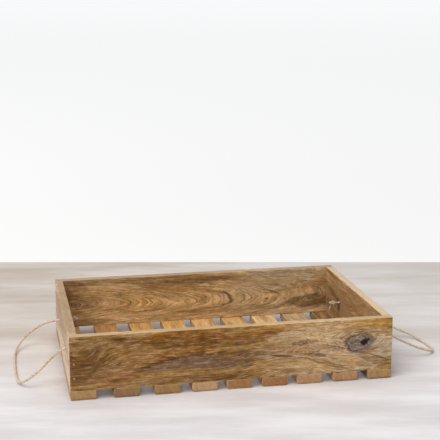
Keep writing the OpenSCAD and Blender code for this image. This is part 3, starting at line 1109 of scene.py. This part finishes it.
def tube(points, faces, lay, centres, first, second, radius, sides, phase):
    """Adds a closed tube, with a radius and a phase of its slight bulges for each centre."""
    start = len(points)
    angles = 2 * np.pi * np.arange(sides) / sides
    for i, centre in enumerate(centres):
        for a in angles:
            bulge = 0.06 * math.cos(3 * a - phase[i]) + 0.035 * math.cos(5 * a + 2.1 * phase[i])
            out = math.cos(a) * first[i] + math.sin(a) * second[i]
            points.append(centre + radius[i] * (1 + bulge) * out)
            turn = a - 0.5 * phase[i]
            lay.append((i * RING_STEP, radius[i] * math.cos(turn), radius[i] * math.sin(turn)))
    rings = len(centres)
    for i in range(rings - 1):
        for k in range(sides):
            a, b = start + i * sides + k, start + i * sides + (k + 1) % sides
            faces.append((a, b, b + sides, a + sides))
    faces.append(tuple(start + k for k in reversed(range(sides))))
    faces.append(tuple(start + (rings - 1) * sides + k for k in range(sides)))


def add_fibre(lists, start, way, bend, length, width):
    """One loose fibre: a thin closed spike that curves away."""
    shares = np.arange(FIBRE_STEPS + 1) / FIBRE_STEPS
    centres = [start + way * length * s + bend * s ** 2 * length for s in shares]
    side = unit(np.cross(way, [0.31, 0.52, 0.8]))
    radius = width * (1 - 0.8 * shares)
    rings = len(shares)
    tube(*lists, centres, [side] * rings, [np.cross(way, side)] * rings, radius, 4, [0.0] * rings)


def cord(side, knot, material, rng):
    """One twisted jute cord as a single mesh, bending where it leaves the wood."""
    path = cord_path(side, knot)
    heading, first, second = transport_frames(path)
    run = np.arange(len(path)) * RING_STEP
    points, faces, lay = lists = [], [], []
    taper = np.clip(0.55 + 0.225 * np.minimum(run, run[-1] - run), 0, 1)
    for ply in range(PLY_COUNT):
        turn = 2 * np.pi * (run / PLY_PITCH + ply / PLY_COUNT)
        wander = np.array([noise.noise(Vector((s / 5.0, ply * 9.0 + len(side), 0.0))) for s in run])
        out = (np.cos(turn)[:, None] * first + np.sin(turn)[:, None] * second) * PLY_OFFSET
        slub = PLY_RADIUS * taper * (1 - 0.08 * np.abs(wander))
        tube(*lists, path + out, first, second, slub, PLY_SIDES, 2 * np.pi * run / 6.0)
    for tip, way in ((0, -1), (len(path) - 1, 1)):
        for _ in range(TIP_FIBRES):
            spread = rng.normal(0, 0.33, 3)
            start = path[tip] + rng.normal(0, 0.45, 3) - way * heading[tip] * 0.8
            lean = unit(way * heading[tip] + spread)
            length, width = rng.uniform(2.2, 4.2), rng.uniform(0.13, 0.24)
            add_fibre(lists, start, lean, spread * 0.6, length, width)
    for i in rng.integers(6, len(path) - 6, LOOSE_FIBRES):
        angle = rng.uniform(0, 2 * np.pi)
        away = math.cos(angle) * first[i] + math.sin(angle) * second[i]
        lean = unit(heading[i] * rng.choice([-1, 1]) + away * rng.uniform(0.25, 0.7))
        start = path[i] + away * CORD_RADIUS * 0.8
        if start[2] + min(0, lean[2]) * 3.0 < 0.4:
            continue
        bend = away * rng.uniform(0, 0.5)
        add_fibre(lists, start, lean, bend, rng.uniform(1.4, 3.2), 0.07)
    points = np.array(points)
    points[:, 2] = np.maximum(points[:, 2], TABLE_GAP)
    piece = make_mesh(side + "_jute_cord", points, faces, material)
    attribute = piece.data.attributes.new("lay", "FLOAT_VECTOR", "POINT")
    attribute.data.foreach_set("vector", np.array(lay, np.float32).ravel())
    return piece


JUTE_TONES = tones((152, 130, 104), (188, 167, 141), (214, 196, 172), (232, 218, 198), (244, 234, 219))
JUTE_IN_PAINTED_SHADE = rgb(142, 110, 72)


def jute():
    """Twisted jute: pale and dark fibres that run along each ply, dusty and matt, with painted shade where
    it lies inside the tray.
    """
    material, tree, shader = new_material("jute_fibre")
    source = tree.nodes.new("ShaderNodeAttribute")
    source.attribute_name = "lay"
    along, y, z = [Value(tree, out) for out in split_vector(tree, source.outputs["Vector"])]
    fibres = noise_at(along / 5.0, y / 0.16, z / 0.16, roughness=0.6)
    patches = noise_at(along / 9.0, y / 1.4, z / 1.4, detail=2.0)
    tone = 0.5 + (fibres - 0.5) * 1.5 + (patches - 0.5) * 0.9
    colour = ramp(tone, JUTE_TONES)
    wall = node_box("right_end_board")[0][0]
    # Painted shade: the cord is darker inside the end walls, where less light reaches it
    inside = step(object_axes(tree)[0].size(), wall + 3.0, wall - 3.0)
    colour = mix(inside * 0.40, colour, JUTE_IN_PAINTED_SHADE)
    inputs = {
        "Base Color": colour, "Roughness": 0.82 + (fibres - 0.5) * 0.2, "Specular IOR Level": 0.22,
        "Sheen Weight": 0.25, "Sheen Roughness": 0.5,
    }
    set_surface(shader, inputs, fibres * 0.12, 0.8)
    return material


def build_cords():
    """The two cords, each one mesh that is blended from its knotted ends to its loop."""
    material = jute()
    knot = tight_knot()
    rng = np.random.default_rng(SEED)
    for side, way in (("left", -1), ("right", 1)):
        piece = cord(side, knot, material, rng)
        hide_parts(side + "_cord_loop", side + "_front_knot", side + "_back_knot")
        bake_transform(piece)


# ---- brads

BRIGHT_WIRE = rgb(224, 206, 168)
DULL_WIRE = rgb(150, 126, 90)
SCRATCHED_WIRE = rgb(120, 104, 84)


def finish_brads():
    """The brads keep their CAD shape and get bright wire under a patchy, scratched film of wax."""
    material, tree, shader = new_material("brad_wire")
    x, y, z = object_axes(tree)
    film = noise_at(x / 0.9, y / 0.9, z / 0.9, detail=4.0, roughness=0.65)
    scratches = noise_at(x / 0.12, y / 1.3, z / 0.12, detail=2.0)
    colour = mix(step(film, 0.40, 0.66), BRIGHT_WIRE, DULL_WIRE)
    colour = mix(step(scratches, 0.58, 0.66) * 0.4, colour, SCRATCHED_WIRE)
    rough = 0.30 + film * 0.25 + scratches * 0.15
    inputs = {"Base Color": colour, "Metallic": 0.85, "Roughness": rough}
    set_surface(shader, inputs, film * 0.04 + scratches * 0.02, 0.7)
    for node in ("corner_brads", "slat_brads"):
        piece = frame["nodes"][node]
        piece.data.materials.clear()
        piece.data.materials.append(material)


# ---- stage, light and camera

SKY_BASE, SKY_TOP = 0.07, 0.50
SKY_COLOUR = (0.97, 0.985, 1.0)
FLOOR_SIZE = 60000.0
FAR_EDGE = 491.0
# Floor tones far left, far right and near, first where it is dull and then where it is bright
FLOOR_TONES = (
    (rgb(198, 184, 172), rgb(210, 202, 197), rgb(216, 211, 212)),
    (rgb(222, 213, 205), rgb(230, 225, 223), rgb(240, 237, 239)),
)
SHADED_FLOOR = rgb(146, 140, 137)
WHITE = rgb(240, 240, 240)
# The camera's place and the window's are in metres
CAMERA_PLACE = (-0.28086, -1.41357, 0.49907)
CAMERA_YAW, CAMERA_PITCH = math.radians(11.544), math.radians(-12.365)
LENS, SENSOR = 93.2, 36.0
WINDOW = {
    "place": (-2.1, -1.8, 4.3), "target": (0, 0, 0.02), "size": 4.4, "power": 205,
    "colour": (1.0, 0.985, 0.96),
}


def floor_tone(x, y, z, ahead, aside):
    """Brushed pale paint, cloudy, whiter and cooler towards the viewer, and darker with painted shade under
    and round the tray.
    """
    cloud = noise_at(aside / 240, ahead / 60, z, detail=5.0, roughness=0.6)
    right, near = step(aside, -380, 330), step(ahead, 140, -180)
    dull, bright = (
        mix(near, mix(right, far_left, far_right), front) for far_left, far_right, front in FLOOR_TONES
    )
    colour = mix(step(cloud, 0.3, 0.7), dull, bright)
    half_x, half_y = FRONT_HIGH[0], BACK_HIGH[1]
    # Painted shade under the tray and just round it
    under = step(x.size(), half_x + 25, half_x - 25) * step(y.size(), half_y + 8, half_y - 30)
    return mix(under * 0.55, colour, SHADED_FLOOR)


def build_stage():
    """A plain pale floor that turns white beyond the table's far edge, as seen from the photo's side."""
    material, tree, shader = new_material("pale_floor")
    x, y, z = object_axes(tree)
    sine, cosine = math.sin(CAMERA_YAW), math.cos(CAMERA_YAW)
    ahead, aside = x * sine + y * cosine, x * cosine - y * sine
    far = (x.squared() + y.squared()).math("SQRT")
    to_viewer = tree.nodes.new("ShaderNodeNewGeometry").outputs["Incoming"]
    to_x, to_y, _ = [Value(tree, out) for out in split_vector(tree, to_viewer)]
    head_on = step(to_x * -sine - to_y * cosine, 0.80, 0.88)
    beyond = step(ahead, FAR_EDGE - 3, FAR_EDGE + 3) * head_on
    white = beyond.math("MAXIMUM", step(far, 700, 1500))
    # The window's light fades with distance, so the far floor glows to stay as white
    fill = step(far.math("LOGARITHM", 10.0), 2.74, 4.30) * 0.38 + step(far, 18000, 40000) * 0.2
    inputs = {
        "Base Color": mix(white, floor_tone(x, y, z, ahead, aside), WHITE), "Roughness": 0.6,
        "Specular IOR Level": 0.2, "Emission Color": (1.0, 1.0, 1.0),
        "Emission Strength": white * 0.16 + fill,
    }
    set_surface(shader, inputs)
    side = FLOOR_SIZE
    corners = [(-side, -side, 0), (side, -side, 0), (side, side, 0), (-side, side, 0)]
    make_mesh("floor", corners, [(0, 1, 2, 3)], material, smooth=False)


def aim(thing, heading):
    thing.rotation_mode = "QUATERNION"
    thing.rotation_quaternion = Vector(heading).to_track_quat("-Z", "Y")


def soft_light(name, place, target, size, power, colour):
    """A square area light, in metres, aimed at a point."""
    light = bpy.data.lights.new(name, "AREA")
    light.shape = "SQUARE"
    light.size = size
    light.energy = power
    light.color = colour
    lamp = bpy.data.objects.new(name, light)
    bpy.context.scene.collection.objects.link(lamp)
    lamp.location = place
    aim(lamp, Vector(target) - Vector(place))


def build_light():
    """A big window high on the left, and a sky that is dimmer low down."""
    world = bpy.data.worlds.new("studio")
    bpy.context.scene.world = world
    world.use_nodes = True
    tree = world.node_tree
    direction = add_node(tree, "ShaderNodeNewGeometry", {}, output="Incoming")
    height = add_node(tree, "ShaderNodeSeparateXYZ", {0: direction}, output=2).size()
    seen = add_node(tree, "ShaderNodeLightPath", {}, output="Is Camera Ray")
    sky = step(height, -0.1, 0.8) * SKY_TOP + SKY_BASE
    background = tree.nodes["Background"]
    feed(background.inputs["Color"], SKY_COLOUR)
    feed(background.inputs["Strength"], sky + seen * (1.0 - sky))
    soft_light("window", **WINDOW)
    bpy.context.scene.view_settings.view_transform = "Standard"


def build_camera():
    """A long lens a little above the rim, from the front and a little to the left."""
    camera = bpy.data.cameras.new("camera")
    camera.lens = LENS
    camera.sensor_width = SENSOR
    viewer = bpy.data.objects.new("camera", camera)
    bpy.context.scene.collection.objects.link(viewer)
    viewer.location = CAMERA_PLACE
    level = math.cos(CAMERA_PITCH)
    heading = (math.sin(CAMERA_YAW) * level, math.cos(CAMERA_YAW) * level, math.sin(CAMERA_PITCH))
    aim(viewer, heading)
    bpy.context.scene.camera = viewer


build_long_boards()
build_end_boards()
build_slats()
build_cords()
finish_brads()
build_stage()
build_light()
build_camera()
